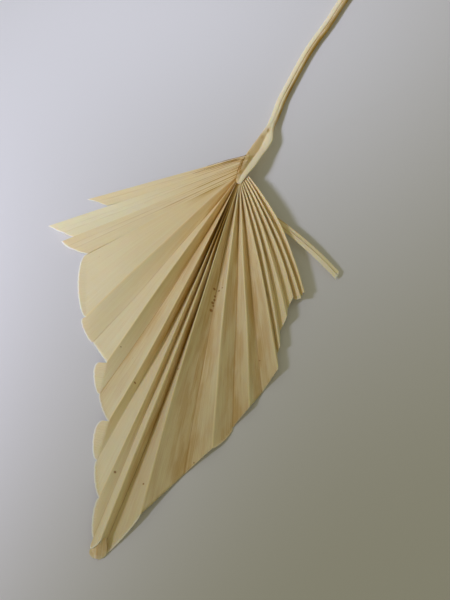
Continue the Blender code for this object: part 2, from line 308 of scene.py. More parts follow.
# Sections of the stalk from the tongue's lip to the cut end: left x and y, right x and y, height
# of the edges, thickness, depth of the channel on top, and the share at which the channel folds
STALK = (
    (-1.8, 0.2, 0.2, 0.6, 8.4, 0.9, 0.0, 0.5),
    (-2.8, 2.0, 1.0, 3.2, 8.8, 1.4, 0.3, 0.42),
    (-3.0, 6.2, 2.1, 7.8, 9.1, 2.3, 1.5, 0.36),
    (-2.7, 14.0, 4.0, 15.6, 8.1, 3.0, 2.4, 0.36),
    (-3.5, 22.3, 5.3, 24.6, 6.8, 3.5, 2.9, 0.48),
    (-2.6, 30.0, 6.6, 32.0, 5.7, 3.8, 3.2, 0.50),
    (-1.4, 37.2, 7.3, 38.8, 4.9, 3.9, 3.0, 0.42),
    (-0.6, 42.0, 6.4, 43.2, 4.3, 3.9, 2.2, 0.46),
    (0.1, 46.6, 5.5, 47.6, 3.5, 3.8, 1.0, 0.55),
    (0.5, 50.8, 5.2, 51.6, 2.9, 3.7, 0.3, 0.6),
    (0.6, 57.0, 5.4, 57.2, 2.4, 3.6, 0.0, 0.6),
    (0.4, 64.0, 5.5, 63.8, 2.0, 3.5, 0.0, 0.6),
    (0.2, 73.0, 5.4, 72.6, 1.8, 3.5, 0.0, 0.6),
    (1.3, 86.0, 6.4, 85.4, 1.7, 3.4, 0.0, 0.6),
    (2.5, 100.0, 7.7, 99.2, 1.7, 3.4, 0.0, 0.6),
    (3.9, 114.0, 9.2, 112.9, 1.7, 3.4, 0.0, 0.6),
    (6.2, 129.0, 11.6, 127.6, 1.7, 3.4, 0.0, 0.6),
    (9.7, 146.0, 15.2, 144.4, 1.8, 3.6, 0.0, 0.6),
    (13.2, 168.0, 18.8, 166.4, 1.9, 3.8, 0.0, 0.6),
    (21.0, 208.6, 26.7, 207.2, 2.1, 4.2, 0.0, 0.6),
    (27.9, 244.7, 34.0, 243.3, 2.3, 4.6, 0.0, 0.6),
    (34.2, 279.4, 40.6, 278.2, 2.5, 5.0, 0.0, 0.6),
)
STALK_SIDES = 64
STALK_STEPS = 16
GROOVE = 0.45  # depth of the fine groove along the top of the stalk
GROOVE_PLACE, GROOVE_WIDE = 0.6, 0.05  # shares of the width
GROOVE_FROM, GROOVE_TO = 46.0, 75.0  # distances from the hub between which it gets deep
# painted shade in the groove, as brown
GROOVE_SHADE = 0.45
TONGUE_FROM, TONGUE_TO = 38.0, 52.0  # where the tongue's colours end
# the tongue's left half is browner and duller: partly its own colour, partly painted shade on the wing
# of its channel that faces away from the light
FACET = 0.14  # how brown the tongue's left half is
FACET_EDGE = 0.06  # half the share of the width over which that ends
# painted shade on the stalk's right side, as brown: strength, and the shares of the width and the
# distances from the hub between which it comes in
RIGHT_SHADE = (
    (0.6, (0.7, 0.97), (40.0, 60.0)),
    (0.32, (0.42, 0.8), (70.0, 140.0)),
)
UNDER_BROWN = 0.1  # the least there is on the underside
STALK_TAN, TONGUE_TAN = 0.12, 0.4  # the tongue has both
STALK_PALE = 0.85
# painted light: the stalk's left side, towards the lamps, is paler
LEFT_PAINTED_LIGHT = 0.15  # added to it on the stalk's left
LEFT_LOST = 0.8  # share of that which the right half hasn't
LEFT_FROM, LEFT_TO = 0.35, 0.6  # shares of the width between which it is lost
FACET_DULL = 0.7  # how much less pale the tongue's left half is
# brown patches on the tongue: x, y, radius and strength
PATCHES = (
    (0.9, 39.5, 1.3, 0.3),
    (2.6, 45.4, 1.1, 0.38),
    (-0.2, 32.0, 1.5, 0.15),
    (-2.6, 24.0, 1.3, 0.3),
    (-2.6, 8.0, 1.4, 0.35),
)
PATCH_LONG = 0.3  # under 1 makes them longer than they are wide

# Brown fibres at the tongue's left side and along the root of the highest strip: four points of
# each, and its radius
FIBRES = (
    ((-3.6, 22.0, 7.0), (-3.8, 14.5, 8.2), (-3.6, 6.5, 9.0), (-2.5, 0.2, 9.0), 0.26),
    ((-4.1, 20.4, 7.3), (-4.2, 13.6, 8.3), (-3.9, 6.8, 8.9), (-3.1, 1.6, 9.0), 0.20),
    ((-3.2, 21.6, 7.6), (-3.4, 15.2, 8.6), (-3.1, 8.6, 9.2), (-2.3, 2.6, 9.6), 0.16),
    ((-3.0, 21.8, 7.4), (-9.5, 16.6, 7.9), (-15.5, 12.2, 7.5), (-21.5, 7.9, 7.0), 0.20),
    ((-3.2, 20.4, 7.5), (-11.0, 13.6, 8.3), (-19.0, 6.9, 8.0), (-27.0, 0.3, 7.4), 0.17),
    ((-3.4, 19.0, 7.4), (-9.5, 13.9, 8.3), (-15.5, 8.9, 8.2), (-21.0, 4.4, 7.8), 0.13),
)
FIBRE_SIDES, FIBRE_STEPS = 8, 12
FIBRE_TAPER = 0.7  # share of the radius that is lost at the end
FIBRE_SWELL, FIBRE_SWELL_TURN = 0.2, 11.0  # how uneven the radius is, and radians of that
FIBRE_STRAY, FIBRE_STRAY_TURN = 0.15, 7.0  # how far a fibre strays sideways, and radians of that
FIBRE_STEP = 2.1  # radians between one fibre's stray and the next
FIBRE_LENGTH = 20.0  # of its grain
FIBRE_TINT = (0.7, 0.6, 0.0)

# Small brown flecks on the blade: x, y and radius
FLECKS = (
    (4.2, -110.0, 0.55),
    (-5.2, -164.5, 0.75),
    (8.3, -165.4, 0.6),
    (25.7, -149.3, 0.45),
    (39.1, -92.8, 0.45),
    (-25.8, -107.2, 0.4),
    (6.4, -62.8, 0.9),
    (8.9, -63.0, 0.75),
    (10.2, -61.6, 0.5),
    (7.9, -66.3, 0.8),
    (8.3, -68.3, 0.9),
    (8.0, -70.2, 1.0),
    (8.8, -71.6, 0.8),
    (8.6, -74.4, 1.15),
    (-12.6, -122.4, 0.6),
)
FLECK_CORE = 0.35  # share of the radius that is fully brown
FLECK_STRENGTH = 0.8

# The leaf's grain tells its pieces apart by a number. The panels have the numbers of their folds
STRIP_NUMBER, STALK_NUMBER, FIBRE_NUMBER = 40.0, 50.0, 60.0

# Noises over the grain: how often each changes across the fibres, along them and from one piece's
# number to the next, and its detail
FIBRE_NOISE = ((2.6, 0.03, 3.1), 3.0)
BAND_NOISE = ((0.42, 0.012, 5.3), 2.0)
CLOUD_NOISE = ((0.16, 0.05, 7.9), 3.0)
THREAD_NOISE = ((5.5, 0.12, 2.3), 1.0)
GAP_NOISE = ((0.2, 0.05, 9.7), 2.0)  # for the gaps in the valleys' lines
NOISE_MIDDLE = (0.3, 0.7)  # the middle part of a noise, which is spread out
THREAD_PEAK = (0.62, 0.75)  # the high part, which makes the threads
SPECK_SCALE = (0.20, 0.11, 6.1)
SPECK_RADIUS = (0.02, 0.05)  # of its core and of its rim, in steps from speck to speck

# Colours of the leaf, and how much there is of those that a noise alone spreads
CREAM = (0.89, 0.76, 0.455)
LIGHT_CREAM = (0.93, 0.825, 0.53)
FIBRE_COLOUR, FIBRE_STRENGTH = (0.83, 0.67, 0.36), 0.35
CLOUD_COLOUR, CLOUD_STRENGTH = (0.90, 0.70, 0.46), 0.36
THREAD_COLOUR, THREAD_STRENGTH = (0.62, 0.40, 0.16), 0.16
SPECK_COLOUR, SPECK_STRENGTH = (0.45, 0.25, 0.09), 0.45
TAN = (0.95, 0.67, 0.30)
PALE = (0.99, 0.865, 0.58)
# painted shade as well as the leaf's own colour: the brown and dark brown of the folds and the line in
# the valleys
BROWN = (0.56, 0.34, 0.07)
DARK_BROWN = (0.24, 0.12, 0.03)
VALLEY_LINE = (0.50, 0.26, 0.06)
# painted highlights: the light line on each ridge's crest and the light rim along the cut edge
RIDGE_HIGHLIGHT = (0.99, 0.80, 0.46)
RIDGE_HIGHLIGHT_TAN = (0.98, 0.73, 0.40)
RIM_HIGHLIGHT = (0.99, 0.95, 0.80)
FLECK = (0.36, 0.15, 0.03)

# How unevenly tan and brown lie: their strength where the noise is low and where it is high
TAN_UNEVEN = (0.75, 1.0)
BROWN_UNEVEN_FIBRE = (0.85, 1.15)
BROWN_UNEVEN_CLOUD = (0.75, 1.25)
BROWN_RANGE = (0.0, 0.55)  # how brown it is where that colour starts and where it covers
DARK_BROWN_RANGE = (0.5, 1.1)

# Lines along the folds and the cut edge, those on the ridges and the edge being painted highlights:
# full up to the first distance and gone at the second
VALLEY_WIDE = (0.12, 0.5)
RIDGE_WIDE = (0.35, 0.9)
RIM_WIDE = (0.35, 0.85)
RIDGE_CLEAR = (0.3, 0.9)  # distances from a valley between which a ridge's line appears
GAP_STRENGTH = (0.3, 0.85)  # of a valley's line, in a gap and between gaps
RIDGE_STRENGTH = 0.95
VALLEY_BROWN = (0.0, 0.25, 0.35, 1.0)  # the line's share, 0.35 to 1, where the leaf is 0 to 0.25 brown
RIDGE_BROWN = (0.25, 0.7, 1.0, 0.0)  # the same for a ridge's line, which brown hides
RIDGE_TAN = (0.1, 0.5)  # how tan the leaf is where a ridge's line starts and ends turning tan
RIM_PALE = (0.0, 0.2, 0.2, 0.95)  # the rim's share, 0.2 to 0.95, where the leaf is 0 to 0.2 pale

# The leaf's surface
SHINE = 0.08
ROUGHNESS = (0.5, 0.66)  # between the fibres and on them
LIGHT_WITHIN = 0.5  # share of the light that goes into the leaf
LIGHT_REACH = (1.0, 0.78, 0.42)  # how far red, green and blue get in it, in steps of the next
LIGHT_REACH_STEP = 0.6
BUMP_STRENGTH, BUMP_HEIGHT = 0.5, 0.12
BUMP_THREAD = 0.6  # height of a thread beside that of the fibres


def quadratic(start, middle, end, t):
    """The smooth value at t from its values at 0, a half and 1."""
    return start * (2 * t - 1) * (t - 1) + middle * 4 * t * (1 - t) + end * t * (2 * t - 1)


def smooth(low, high, value):
    """A ramp from 0 at low to 1 at high that is level at both."""
    part = np.clip((np.asarray(value, float) - low) / (high - low), 0.0, 1.0)
    return part * part * (3 - 2 * part)


def waves(t, number):
    """A panel's or strip's waves up and down along its length, for each t."""
    return WAVE * np.sin(2 * math.pi * (WAVE_TURNS * t + GOLDEN * number))


def underside(x, y):
    """Height of the blade's underside in a valley, at points measured from the hub."""
    distance = np.hypot(x, y)
    angle = np.degrees(np.arctan2(x, -y))
    fall = FALL_REACH + FALL_SIDE * np.clip(angle, -FALL_MOST, FALL_MOST)
    return HUB_LIFT * np.maximum(0.0, 1 - distance / fall) ** FALL_POWER


def fold_root(index):
    fold = FOLDS[index]
    lean = RIDGE_LEAN if fold.ridge and fold.angle > RIGHT else 0.0
    share = (index + lean) / (len(FOLDS) - 1)
    turn = math.radians(OVAL_FROM + (OVAL_TO - OVAL_FROM) * share)
    return np.array((OVAL_X + OVAL_WIDE * (2 * share - 1), OVAL_Y - OVAL_LONG * math.cos(turn)))


def fold_tip(fold):
    turn = math.radians(fold.angle)
    return np.array((fold.reach * math.sin(turn), -fold.reach * math.cos(turn)))


def fold_line(index, t):
    """A fold's points, one row for each t: x, y and height."""
    fold = FOLDS[index]
    root, tip = fold_root(index), fold_tip(fold)
    along = tip - root
    right = np.array((-along[1], along[0])) / np.hypot(*along)
    hump = 4 * t * (1 - t)
    stray = WANDER * np.sin(2 * math.pi * (WANDER_TURNS * t + GOLDEN * index))
    flat = root + along * t[:, None] + right * (hump * (fold.bow + stray))[:, None]
    lift = quadratic(HUB_RIDGE if fold.ridge else 0.0, fold.lift_mid, fold.lift_tip, t)
    distance = np.hypot(flat[:, 0], flat[:, 1]) / DIP_REACH
    sink = fold.dip * distance * np.exp(1 - distance)
    height = underside(flat[:, 0], flat[:, 1]) + lift - sink + BLADE_CLEAR
    if fold.ridge:
        height = height + RIB_RISE
    return np.column_stack((flat, np.maximum(height, BLADE_CLEAR)))


def eased(share, rounding):
    """A ramp from 0 to 1 that leaves and reaches its ends level, over a rounding share."""
    low = share**2 / (2 * rounding * (1 - rounding))
    high = 1 - (1 - share) ** 2 / (2 * rounding * (1 - rounding))
    middle = (share - rounding / 2) / (1 - rounding)
    return np.where(share < rounding, low, np.where(share > 1 - rounding, high, middle))


def crowded(count):
    """Shares from 0 to 1 that lie closer together near both ends."""
    even = np.linspace(0.0, 1.0, count + 1)
    return even - CLUSTER * np.sin(2 * math.pi * even) / (2 * math.pi)


def lobe_edge(fold, start, end, shares):
    """How far the cut edge of the panel after a fold stands out from its corners' line, as vectors."""
    chord = end - start
    length = np.hypot(*chord)
    outward = np.array((chord[1], -chord[0])) / length
    rounded = fold.lobe * np.abs(np.sin(math.pi * shares**fold.lobe_skew)) ** LOBE_POWER
    place = shares * length / NIBBLE_LENGTH
    teeth = np.sin(2 * math.pi * place + fold.reach) + np.sin(NIBBLE_TURN * place + fold.angle)
    return outward * (rounded + NIBBLE * teeth * np.sin(math.pi * shares))[:, None]


class Sheet:
    """Points and faces of a surface, with what its material reads at each point."""

    def __init__(self):
        self.points = []
        self.faces = []
        self.grain = []  # millimetres across the fibres and along them, and the piece's number
        self.marks = []  # millimetres to the nearest ridge, valley and cut edge
        self.tint = []  # how brown, how tan and how pale it is

    def add(self, point, grain, marks, tint):
        self.points.append(tuple(point))
        self.grain.append(tuple(grain))
        self.marks.append(tuple(marks))
        self.tint.append(tuple(tint))
        return len(self.points) - 1

    def column(self, points, grain, marks, tint):
        return [self.add(*row) for row in zip(points, grain, marks, tint)]

    def quad(self, *corners):
        """A face without the corners that repeat the one before, if three or more are left."""
        kept = [c for i, c in enumerate(corners) if c != corners[i - 1]]
        if len(kept) > 2:
            self.faces.append(kept)

    def bridge(self, columns):
        for one, two in zip(columns, columns[1:]):
            for row in range(len(one) - 1):
                self.quad(one[row], one[row + 1], two[row + 1], two[row])

    def tube(self, rings):
        """Faces from ring to ring, and the two flat ends."""
        for ring, following in zip(rings, rings[1:]):
            for side in range(len(ring)):
                after = (side + 1) % len(ring)
                self.quad(ring[side], ring[after], following[after], following[side])
        self.faces.append(rings[0][::-1])
        self.faces.append(rings[-1])


def panel_tint(fold, nearness, points):
    """How brown, tan and pale a panel is at points of one column, nearness being 1 in its valley; the
    brown is partly painted shade.
    """
    distance = np.hypot(points[:, 0], points[:, 1])
    fade = 1 - smooth(BROWN_FADE * fold.brown_reach, fold.brown_reach, distance)
    spread = BROWN_SPREAD_RIGHT if fold.angle > RIGHT else BROWN_SPREAD
    brown = fold.brown * (spread + (1 - spread) * nearness) * fade
    strength = HUB_BROWN * (HUB_BROWN_RIGHT if fold.angle > FAR_RIGHT else 1.0)
    fade = 1 - smooth(HUB_BROWN_FADE * HUB_BROWN_REACH, HUB_BROWN_REACH, distance)
    hub = strength * nearness**HUB_BROWN_POWER * fade
    hub = np.maximum(hub, fold.deep * (1 - smooth(DEEP_FROM, DEEP_TO, distance)))
    tan = np.exp(-distance / TAN_FALL) * (TAN_RIGHT if fold.angle > 0 else 1.0)
    pale = fold.pale * smooth(PALE_FROM * fold.reach, fold.reach, distance)
    return np.column_stack((np.maximum(brown, hub), tan, pale))


def deepen(sheet, column, tint):
    """Makes a column as brown as the browner of its own tint and the given one."""
    for place, (brown, _, _) in zip(column, tint):
        sheet.tint[place] = (max(brown, sheet.tint[place][0]), *sheet.tint[place][1:])


def add_panel(sheet, index, lines, t, across, left):
    """Adds the panel after a fold as a grid between the lines of its two folds.

    Its grain starts at across, and its first column is left, the last one of the panel before it.
    Gives its columns, how far the cut edge stands out from each of them, and its own width.
    """
    fold = FOLDS[index]
    a, b = lines[index], lines[index + 1]
    width = np.linalg.norm((b - a)[:, :2], axis=1)
    slope = np.linalg.norm(b - a, axis=1)
    shares = crowded(max(LEAST_COLUMNS, math.ceil(slope[-1] / COLUMN)))
    outs = lobe_edge(fold, a[-1, :2], b[-1, :2], shares)
    rounding = np.clip(ROUND / np.maximum(width, NARROW), ROUND_LEAST, ROUND_MOST)
    rise = b[:, 2] - a[:, 2]
    reach = t * np.linalg.norm(a[-1] - a[0])
    columns = []
    for share, out in zip(shares, outs):
        nearness = share if fold.ridge else 1 - share
        if share == 0.0 and left is not None:
            deepen(sheet, left, panel_tint(fold, nearness, a))
            columns.append(left)
            continue
        hump = 4 * share * (1 - share)
        flat = a[:, :2] + (b - a)[:, :2] * share
        height = a[:, 2] + rise * eased(np.full_like(t, share), rounding)
        height = height - SAG * np.abs(rise) * hump
        height = height + waves(t, index) * hump * width / width[-1]
        points = np.column_stack((flat, np.maximum(height, BLADE_CLEAR)))
        near, far = share * slope, (1 - share) * slope
        ridge, valley = (near, far) if fold.ridge else (far, near)
        edge = reach[-1] - reach + np.hypot(*out)
        place = np.full_like(t, across + share * slope[-1])
        grain = np.column_stack((place, reach, np.full_like(t, index)))
        marks = np.column_stack((ridge, valley, edge))
        columns.append(sheet.column(points, grain, marks, panel_tint(fold, nearness, points)))
    sheet.bridge(columns)
    return columns, outs, slope[-1]


def add_fringe(sheet, columns, outs):
    """The rounded lobe of a panel, beyond the straight line between its two tips."""
    before = [column[-1] for column in columns]
    for step in range(1, FRINGE_ROWS + 1):
        part = step / FRINGE_ROWS
        now = [before[0]]
        for column, out in zip(columns[1:-1], outs[1:-1]):
            start = column[-1]
            x, y, z = sheet.points[start]
            across, along, number = sheet.grain[start]
            ridge, valley, _ = sheet.marks[start]
            point = (x + out[0] * part, y + out[1] * part, z)
            grain = (across, along + np.hypot(*out) * part, number)
            marks = (ridge, valley, np.hypot(*out) * (1 - part))
            now.append(sheet.add(point, grain, marks, sheet.tint[start]))
        now.append(before[-1])
        for place in range(len(columns) - 1):
            sheet.quad(before[place], now[place], now[place + 1], before[place + 1])
        before = now


def blade_sheet():
    """The pleated blade: a panel between each two folds, and the middle of the hub where they meet."""
    sheet = Sheet()
    middle = sheet.add((OVAL_X, OVAL_Y, HUB_LIFT), (0.0, 0.0, 0.0), UNMARKED, HUB_TINT)
    t = np.linspace(0.0, 1.0, ROWS + 1) ** ROW_POWER
    lines = [fold_line(index, t) for index in range(len(FOLDS))]
    across = 0.0
    left = None
    for index in range(len(FOLDS) - 1):
        columns, outs, wide = add_panel(sheet, index, lines, t, across, left)
        for one, two in zip(columns, columns[1:]):
            sheet.quad(middle, one[0], two[0])
        add_fringe(sheet, columns, outs)
        across += wide
        left = columns[-1]
    return sheet


def strip_edge(places, t):
    places = [np.array(place) for place in places]
    return quadratic(*places, t[:, None])


def strip_tint(strip, number, share, t, distance):
    """How brown, tan and pale a strip is at points of one column, with its brown lines."""
    stray = STRIP_LINE_STRAY * math.sin(STRAY_TURN * share + number)
    turns = STRIP_LINES * share + stray + GOLDEN * number
    line = (0.5 + 0.5 * math.cos(2 * math.pi * turns)) ** STRIP_LINE_POWER * (strip.tan > 0)
    line_to = STRIP_LINE_TO + STRIP_LINE_UNEVEN * math.sin(UNEVEN_TURN * share)
    root = STRIP_ROOT_BROWN * (1 - smooth(STRIP_ROOT_FROM, STRIP_ROOT_TO, distance))
    lines = STRIP_LINE_BROWN * line * (1 - smooth(STRIP_LINE_FROM, line_to, distance))
    tan = strip.tan * np.exp(-distance / STRIP_TAN_FALL)
    pale = min(strip.pale, STRIP_ROOT_PALE) * (1 - t)
    pale = pale + strip.pale * smooth(STRIP_PALE_FROM, STRIP_PALE_TO, t)
    return np.column_stack((strip.brown + (root + lines), tan, pale))


def strip_sheet(strip, number):
    """A strip as a grid between its two edges, with its creases, and a cut end that bulges."""
    sheet = Sheet()
    t = np.linspace(0.0, 1.0, STRIP_ROWS + 1)
    first, second = strip_edge(strip.first, t), strip_edge(strip.second, t)
    low = quadratic(*strip.height, t) + BLADE_CLEAR
    width = np.linalg.norm(second - first, axis=1)
    thinned = STRIP_LEAST + (1 - STRIP_LEAST) * width / width.max()
    end = (first[-1] + second[-1]) / 2 - (first[-2] + second[-2]) / 2
    onward = end / np.hypot(*end)
    length = np.linalg.norm(first[-1] - first[0])
    distance = t * length
    places, heights = zip(*strip.profile)
    columns = []
    for share in np.linspace(0.0, 1.0, STRIP_COLUMNS + 1):
        hump = 4 * share * (1 - share)
        out = strip.bulge * hump + NIBBLE * math.sin(END_TURN * share + number)
        flat = first + (second - first) * share + onward * (out * t**STRIP_END_POWER)[:, None]
        lift = np.interp(share, places, heights) * thinned
        wave = waves(t, number) * hump
        points = np.column_stack((flat, np.maximum(low + lift + wave * t, BLADE_CLEAR)))
        crease = CREASE_SCALE * min(abs(share - place) for place in places[1:-1]) * width
        across = np.full_like(t, share * width[-1])
        grain = np.column_stack((across, distance, np.full_like(t, STRIP_NUMBER + number)))
        marks = np.column_stack((np.full_like(t, AWAY), CREASE_LEAST + crease, (1 - t) * length))
        tint = strip_tint(strip, number, share, t, distance)
        columns.append(sheet.column(points, grain, marks, tint))
    sheet.bridge(columns)
    return sheet


def smooth_rows(rows, steps):
    """Rows on a smooth curve through the given rows, with steps of them to each."""
    full = []
    for index in range(len(rows) - 1):
        before = np.array(rows[max(0, index - 1)])
        a, b = np.array(rows[index]), np.array(rows[index + 1])
        after = np.array(rows[min(len(rows) - 1, index + 2)])
        m, n = (b - before) / 2, (after - a) / 2
        for step in range(steps):
            t = step / steps
            full.append(
                a * (2 * t**3 - 3 * t**2 + 1)
                + m * (t**3 - 2 * t**2 + t)
                + b * (3 * t**2 - 2 * t**3)
                + n * (t**3 - t**2)
            )
    return full + [np.array(rows[-1])]


def groove_depth(share):
    """Depth of the stalk's groove at a share of the width, from 0 to 1."""
    return math.exp(-(((share - GROOVE_PLACE) / GROOVE_WIDE) ** 2))


def stalk_tint(x, y, share, top, crease):
    """How brown, tan and pale the stalk is, with painted shade in its groove, on its right side and
    partly on the tongue's left half, and painted light on its left.
    """
    tongue = 1 - smooth(TONGUE_FROM, TONGUE_TO, y)
    # painted shade in the groove
    groove = GROOVE_SHADE * groove_depth(share) * smooth(GROOVE_FROM, GROOVE_TO, y)
    # painted shade on the right side, which faces away from the light
    side = max(
        strength * smooth(*across, share) * smooth(*along, y)
        for strength, across, along in RIGHT_SHADE
    )
    # the tongue's left half, partly painted shade
    facet = FACET * (1 - smooth(crease - FACET_EDGE, crease + FACET_EDGE, share)) * tongue
    patch = max(
        strength * math.exp(-((x - px) ** 2 + PATCH_LONG * (y - py) ** 2) / radius**2)
        for px, py, radius, strength in PATCHES
    )
    brown = max(groove, side, facet, patch) if top else max(side, UNDER_BROWN)
    # painted light on the stalk's left side
    left = LEFT_PAINTED_LIGHT * (1 - tongue) * (1 - LEFT_LOST * smooth(LEFT_FROM, LEFT_TO, share))
    return brown, TONGUE_TAN * tongue + STALK_TAN, STALK_PALE + left - FACET_DULL * facet / FACET


def stalk_sheet():
    """The stalk with its groove, and the tongue with its channel, as rings from the lip up."""
    sheet = Sheet()
    rings = []
    for lx, ly, rx, ry, z, thick, channel, crease in smooth_rows(STALK, STALK_STEPS):
        ring = []
        wide = math.hypot(rx - lx, ry - ly)
        depth = GROOVE * float(smooth(GROOVE_FROM, GROOVE_TO, ly))
        for side in range(STALK_SIDES):
            turn = 2 * math.pi * side / STALK_SIDES
            share = (1 + math.cos(turn)) / 2
            x, y = lx + (rx - lx) * share, ly + (ry - ly) * share
            up = z + math.sin(turn) * thick / 2
            top = math.sin(turn) > 0
            if top:
                up -= channel * min(share / crease, (1 - share) / (1 - crease))
                up -= depth * groove_depth(share)
            grain = (turn * wide / 2, y, STALK_NUMBER)
            tint = stalk_tint(x, y, share, top, crease)
            ring.append(sheet.add((x, y, max(0.0, up)), grain, UNMARKED, tint))
        rings.append(ring)
    sheet.tube(rings)
    return sheet


def fibre_sheet():
    """The brown fibres, as thin tapered tubes."""
    sheet = Sheet()
    for number, (*places, radius) in enumerate(FIBRES):
        line = smooth_rows(places, FIBRE_STEPS)
        rings = []
        for row, (x, y, z) in enumerate(line):
            ahead = line[min(row + 1, len(line) - 1)] - line[max(row - 1, 0)]
            across = np.array((-ahead[1], ahead[0], 0.0)) / np.hypot(ahead[0], ahead[1])
            part = row / (len(line) - 1)
            swell = 1 + FIBRE_SWELL * math.sin(FIBRE_SWELL_TURN * part + number)
            around = radius * (1 - FIBRE_TAPER * part) * swell
            shift = FIBRE_STRAY * math.sin(FIBRE_STRAY_TURN * part + FIBRE_STEP * number)
            ring = []
            for side in range(FIBRE_SIDES):
                turn = 2 * math.pi * side / FIBRE_SIDES
                point = np.array((x, y, z + around * math.sin(turn)))
                point = point + across * (shift + around * math.cos(turn))
                grain = (turn * radius, part * FIBRE_LENGTH, FIBRE_NUMBER + number)
                ring.append(sheet.add(point, grain, UNMARKED, FIBRE_TINT))
            rings.append(ring)
        sheet.tube(rings)
    return sheet


def to_object(name, sheet, material):
    """A mesh object of the sheet, in the leaf's frame, with what its material reads on it."""
    points = np.array(sheet.points) + (HUB_X, HUB_Y, 0.0)
    mesh = bpy.data.meshes.new(name)
    mesh.from_pydata((points * MM).tolist(), [], sheet.faces)
    mesh.update()
    for label in ("grain", "marks", "tint"):
        made = mesh.attributes.new(label, "FLOAT_VECTOR", "POINT")
        made.data.foreach_set("vector", np.array(getattr(sheet, label), np.float32).ravel())
    mesh.shade_smooth()
    mesh.materials.append(material)
    thing = bpy.data.objects.new(name, mesh)
    bpy.context.scene.collection.objects.link(thing)
    return thing


def thicken(thing, thick):
    shell = thing.modifiers.new("shell", "SOLIDIFY")
    shell.thickness = thick * MM
    shell.offset = 0.0


class Shade:
    """Adds nodes to a material's tree. A value given to a socket is a number, a colour or a link."""

    def __init__(self, material):
        self.nodes = material.node_tree.nodes
        self.links = material.node_tree.links

    def plug(self, socket, value):
        if isinstance(value, bpy.types.NodeSocket):
            self.links.new(value, socket)
        else:
            socket.default_value = value

    def attribute(self, name):
        node = self.nodes.new("ShaderNodeAttribute")
        node.attribute_name = name
        return node.outputs["Vector"]

    def parts(self, vector):
        node = self.nodes.new("ShaderNodeSeparateXYZ")
        self.plug(node.inputs[0], vector)
        return node.outputs[:3]

    def vector(self, operation, a, b):
        node = self.nodes.new("ShaderNodeVectorMath")
        node.operation = operation
        self.plug(node.inputs[0], a)
        self.plug(node.inputs[1], b)
        return node.outputs["Value" if operation == "DISTANCE" else "Vector"]

    def math(self, operation, a, b):
        node = self.nodes.new("ShaderNodeMath")
        node.operation = operation
        self.plug(node.inputs[0], a)
        self.plug(node.inputs[1], b)
        return node.outputs[0]

    def times(self, a, b):
        return self.math("MULTIPLY", a, b)

    def ramp(self, value, low, high, to_low=0.0, to_high=1.0):
        """A smooth ramp from to_low, where the value is low, to to_high, where it is high."""
        node = self.nodes.new("ShaderNodeMapRange")
        node.interpolation_type = "SMOOTHSTEP"
        for socket, number in zip(node.inputs[1:5], (low, high, to_low, to_high)):
            socket.default_value = number
        self.plug(node.inputs[0], value)
        return node.outputs["Result"]

    def noise(self, vector, scale, detail):
        """Noise from 0 to 1 over a vector that is first multiplied by scale."""
        node = self.nodes.new("ShaderNodeTexNoise")
        node.inputs["Scale"].default_value = 1.0
        node.inputs["Detail"].default_value = detail
        self.plug(node.inputs["Vector"], self.vector("MULTIPLY", vector, scale))
        return node.outputs["Fac"]

    def mix(self, factor, a, b):
        node = self.nodes.new("ShaderNodeMix")
        node.data_type = "RGBA"
        self.plug(node.inputs[0], factor)
        for socket, colour in ((node.inputs[6], a), (node.inputs[7], b)):
            self.plug(socket, (*colour, 1.0) if isinstance(colour, tuple) else colour)
        return node.outputs[2]


class Reading:
    """What the leaf's colours are mixed from: the sheet's values and the noises over its grain."""

    def __init__(self, shade):
        self.grain = shade.attribute("grain")
        self.ridge, self.valley, self.edge = shade.parts(shade.attribute("marks"))
        self.brown, self.tan, self.pale = shade.parts(shade.attribute("tint"))
        self.fibre = shade.ramp(shade.noise(self.grain, *FIBRE_NOISE), *NOISE_MIDDLE)
        self.band = shade.ramp(shade.noise(self.grain, *BAND_NOISE), *NOISE_MIDDLE)
        self.cloud = shade.ramp(shade.noise(self.grain, *CLOUD_NOISE), *NOISE_MIDDLE)
        self.thread = shade.ramp(shade.noise(self.grain, *THREAD_NOISE), *THREAD_PEAK)


def grown_colour(shade, leaf):
    """Cream with bands, fibres, clouds and threads, tan by the hub and pale at the tips."""
    colour = shade.mix(leaf.band, CREAM, LIGHT_CREAM)
    colour = shade.mix(shade.times(leaf.fibre, FIBRE_STRENGTH), colour, FIBRE_COLOUR)
    colour = shade.mix(shade.times(leaf.cloud, CLOUD_STRENGTH), colour, CLOUD_COLOUR)
    tanned = shade.times(leaf.tan, shade.ramp(leaf.fibre, 0.0, 1.0, *TAN_UNEVEN))
    colour = shade.mix(tanned, colour, TAN)
    colour = shade.mix(leaf.pale, colour, PALE)
    return shade.mix(shade.times(leaf.thread, THREAD_STRENGTH), colour, THREAD_COLOUR)


def stained_and_shaded(shade, leaf, colour):
    """Brown in the folds, streaked and cloudy, and dark where there is most of it: the leaf's own
    colour and painted shade.
    """
    stain_and_shade = shade.times(leaf.brown, shade.ramp(leaf.fibre, 0.0, 1.0, *BROWN_UNEVEN_FIBRE))
    stain_and_shade = shade.times(stain_and_shade, shade.ramp(leaf.cloud, 0.0, 1.0, *BROWN_UNEVEN_CLOUD))
    colour = shade.mix(shade.ramp(stain_and_shade, *BROWN_RANGE), colour, BROWN)
    return shade.mix(shade.ramp(stain_and_shade, *DARK_BROWN_RANGE), colour, DARK_BROWN)


